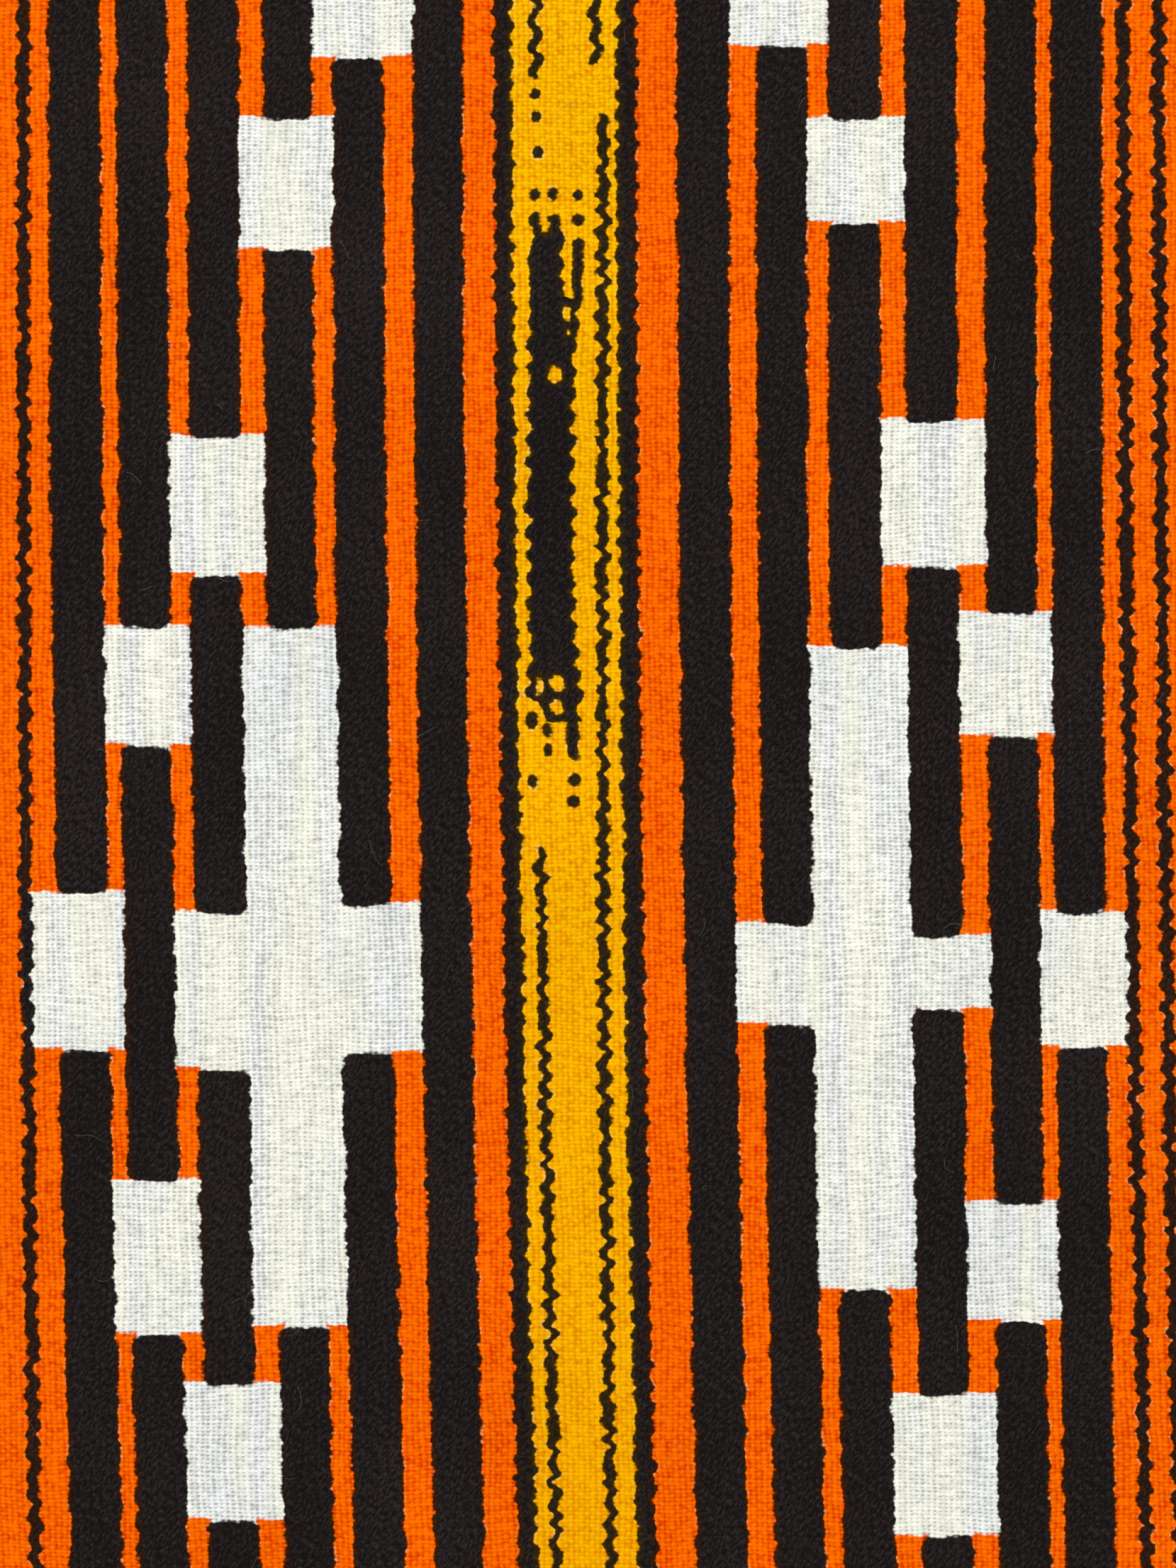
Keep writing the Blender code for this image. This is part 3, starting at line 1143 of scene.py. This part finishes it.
class PRINTED_COTTON_OT_yarn_ends(bpy.types.Operator):
    """Let the cut yarns' ends stand out of the four edges"""

    bl_idname = "printed_cotton.yarn_ends"
    bl_label = "Yarn ends"

    def execute(self, context):
        sizes = context.scene.printed_cotton_sizes
        draw = random.Random(sizes.seed)
        fibres = FibreMesh()
        for end in (-1.0, 1.0):
            for i in range(int(WIDTH / sizes.warp_pitch)):
                side = 2.0 * (i + 0.5) * sizes.warp_pitch / WIDTH - 1.0
                y = 0.5 * end * LENGTH
                self.add_end(fibres, draw, sizes, float(cut_side(y, side)), y, (0.0, end))
            for i in range(int(LENGTH / sizes.weft_pitch)):
                y = (i + 0.5) * sizes.weft_pitch - 0.5 * LENGTH
                self.add_end(fibres, draw, sizes, float(cut_side(y, end)), y, (end, 0.0))
        points = np.array(fibres.vertices)
        across, down = chart_place(points)
        chart = np.stack([across, down, np.full(len(points), ENDS_FACE)], axis=-1)
        finishes = list(bpy.data.objects["printed_cloth"].data.materials)
        ends = add_printed("yarn_ends", fibres.vertices, fibres.faces, chart, finishes)
        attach(ends, BODY)
        return {"FINISHED"}

    @staticmethod
    def add_end(fibres, draw, sizes, x, y, out):
        """One yarn's end: a short stub and two finer fibres that splay from it."""
        start = face_place(x, y, 0.5 * sizes.thickness)
        side = np.array((-out[1], out[0], 0.0))
        out = np.array((out[0], out[1], 0.0))
        radius = 0.5 * sizes.yarn
        root = start - ROOT_DEPTH * out
        reach = sizes.longest_end * draw.uniform(*STUB_REACH)
        lean_by = draw.gauss(0.0, STUB_LEAN)
        stub = start + reach * (out + lean_by * side) + np.array((0.0, 0.0, STUB_DROP * sizes.thickness))
        fibres.add([root, start, stub], [share * radius for share in STUB_TAPER])
        for _ in range(SPLAYS):
            reach = sizes.longest_end * draw.uniform(*SPLAY_REACH)
            swing = lean_by + draw.gauss(0.0, SPLAY_LEAN)
            lift = draw.uniform(*SPLAY_LIFT) * sizes.thickness
            middle = start + 0.5 * reach * (out + SPLAY_BEND * swing * side)
            tip = start + reach * (out + swing * side) + np.array((0.0, 0.0, lift))
            fibres.add([root, start, middle, tip], [share * radius for share in SPLAY_TAPER])


class PRINTED_COTTON_OT_stray_fibres(bpy.types.Operator):
    """Lay a few loose fibres on the printed face"""

    bl_idname = "printed_cotton.stray_fibres"
    bl_label = "Stray fibres"

    def execute(self, context):
        sizes = context.scene.printed_cotton_sizes
        draw = random.Random(sizes.seed + 1)
        fibres = FibreMesh()
        for _ in range(sizes.stray_fibres):
            self.add_fibre(fibres, draw, sizes)
        finish = fibre_finish(context.scene.printed_cotton_colours)
        stray = add_object("stray_fibres", fibres.vertices, fibres.faces, finish)
        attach(stray, BODY)
        return {"FINISHED"}

    @staticmethod
    def add_fibre(fibres, draw, sizes):
        """One fibre, curling as it goes, with both ends a little way into the weave."""
        x = draw.uniform(-STRAY_SPAN, STRAY_SPAN) * WIDTH
        y = draw.uniform(-STRAY_SPAN, STRAY_SPAN) * LENGTH
        heading = draw.uniform(0.0, 2.0 * math.pi)
        curl = draw.gauss(0.0, STRAY_CURL)
        step = draw.uniform(*STRAY_LENGTH) * MM / STRAY_STEPS
        lift = draw.uniform(*STRAY_LIFT) * MM
        points = []
        for i in range(STRAY_STEPS + 1):
            rise = lift * math.sin(math.pi * i / STRAY_STEPS) - STRAY_SINK
            points.append(face_place(x, y, sizes.thickness + rise))
            x += step * math.cos(heading)
            y += step * math.sin(heading)
            heading += curl + draw.gauss(0.0, STRAY_WANDER)
        fibres.add(points, [STRAY_RADIUS] * len(points))


class PRINTED_COTTON_OT_stage(bpy.types.Operator):
    """Add the pale floor, the soft light and the camera straight above"""

    bl_idname = "printed_cotton.stage"
    bl_label = "Stage"

    def execute(self, context):
        stage = context.scene.printed_cotton_stage
        self.add_floor(stage, context.scene.printed_cotton_colours)
        self.add_light(context.scene, stage)
        self.add_camera(context.scene, stage)
        context.scene.view_settings.view_transform = "Standard"
        return {"FINISHED"}

    @staticmethod
    def add_floor(stage, colours):
        half = 0.5 * stage.floor_size
        sides = ((-half, -half), (half, -half), (half, half), (-half, half))
        corners = [(x, y, -FLOOR_DROP) for x, y in sides]
        add_object("floor", corners, [(0, 1, 2, 3)], floor_finish(colours.floor))

    @staticmethod
    def add_lamp(scene, name, power, size, place):
        lamp = bpy.data.lights.new(name, "AREA")
        lamp.energy = power
        lamp.size = size
        hung = bpy.data.objects.new(name, lamp)
        hung.location = place
        hung.rotation_euler = (-hung.location).to_track_quat("-Z", "Y").to_euler()
        scene.collection.objects.link(hung)

    def add_light(self, scene, stage):
        self.add_lamp(scene, "soft lamp", stage.lamp_power, stage.lamp_size, stage.lamp_place)
        self.add_lamp(scene, "fill lamp", stage.fill_power, stage.fill_size, stage.fill_place)
        world = bpy.data.worlds.new("even light")
        world.use_nodes = True
        background = world.node_tree.nodes["Background"]
        background.inputs["Color"].default_value = (1.0, 1.0, 1.0, 1.0)
        background.inputs["Strength"].default_value = stage.sky
        scene.world = world

    @staticmethod
    def add_camera(scene, stage):
        lens = bpy.data.cameras.new("camera")
        lens.lens = stage.lens
        lens.sensor_fit = "VERTICAL"
        lens.sensor_height = SENSOR_HEIGHT
        lens.clip_start = 0.01
        camera = bpy.data.objects.new("camera", lens)
        above = stage.view_height * stage.lens / SENSOR_HEIGHT
        camera.location = (VIEW_X, 0.0, above)
        scene.collection.objects.link(camera)
        scene.camera = camera


class PRINTED_COTTON_PT_pieces(bpy.types.Panel):
    """Lists the cloth's pieces and its settings"""

    bl_idname = "PRINTED_COTTON_PT_pieces"
    bl_label = "Printed Cotton"
    bl_space_type = "VIEW_3D"
    bl_region_type = "UI"
    bl_category = "Cloth"

    def draw(self, context):
        for operator in OPERATORS:
            self.layout.operator(operator.bl_idname)
        scene = context.scene
        for group in (scene.printed_cotton_sizes, scene.printed_cotton_colours, scene.printed_cotton_stage):
            box = self.layout.box()
            for name in group.__annotations__:
                box.prop(group, name)


OPERATORS = (
    PRINTED_COTTON_OT_cloth,
    PRINTED_COTTON_OT_yarn_ends,
    PRINTED_COTTON_OT_stray_fibres,
    PRINTED_COTTON_OT_stage,
)
GROUPS = (PrintedCottonSizes, PrintedCottonColours, PrintedCottonStage)
CLASSES = GROUPS + OPERATORS + (PRINTED_COTTON_PT_pieces,)


def register():
    for kind in CLASSES:
        bpy.utils.register_class(kind)
    bpy.types.Scene.printed_cotton_sizes = bpy.props.PointerProperty(type=PrintedCottonSizes)
    bpy.types.Scene.printed_cotton_colours = bpy.props.PointerProperty(type=PrintedCottonColours)
    bpy.types.Scene.printed_cotton_stage = bpy.props.PointerProperty(type=PrintedCottonStage)


def unregister():
    del bpy.types.Scene.printed_cotton_stage
    del bpy.types.Scene.printed_cotton_colours
    del bpy.types.Scene.printed_cotton_sizes
    for kind in reversed(CLASSES):
        bpy.utils.unregister_class(kind)


def main():
    register()
    bpy.ops.printed_cotton.cloth()
    bpy.ops.printed_cotton.yarn_ends()
    bpy.ops.printed_cotton.stray_fibres()
    bpy.ops.printed_cotton.stage()


if __name__ == "__main__":
    main()
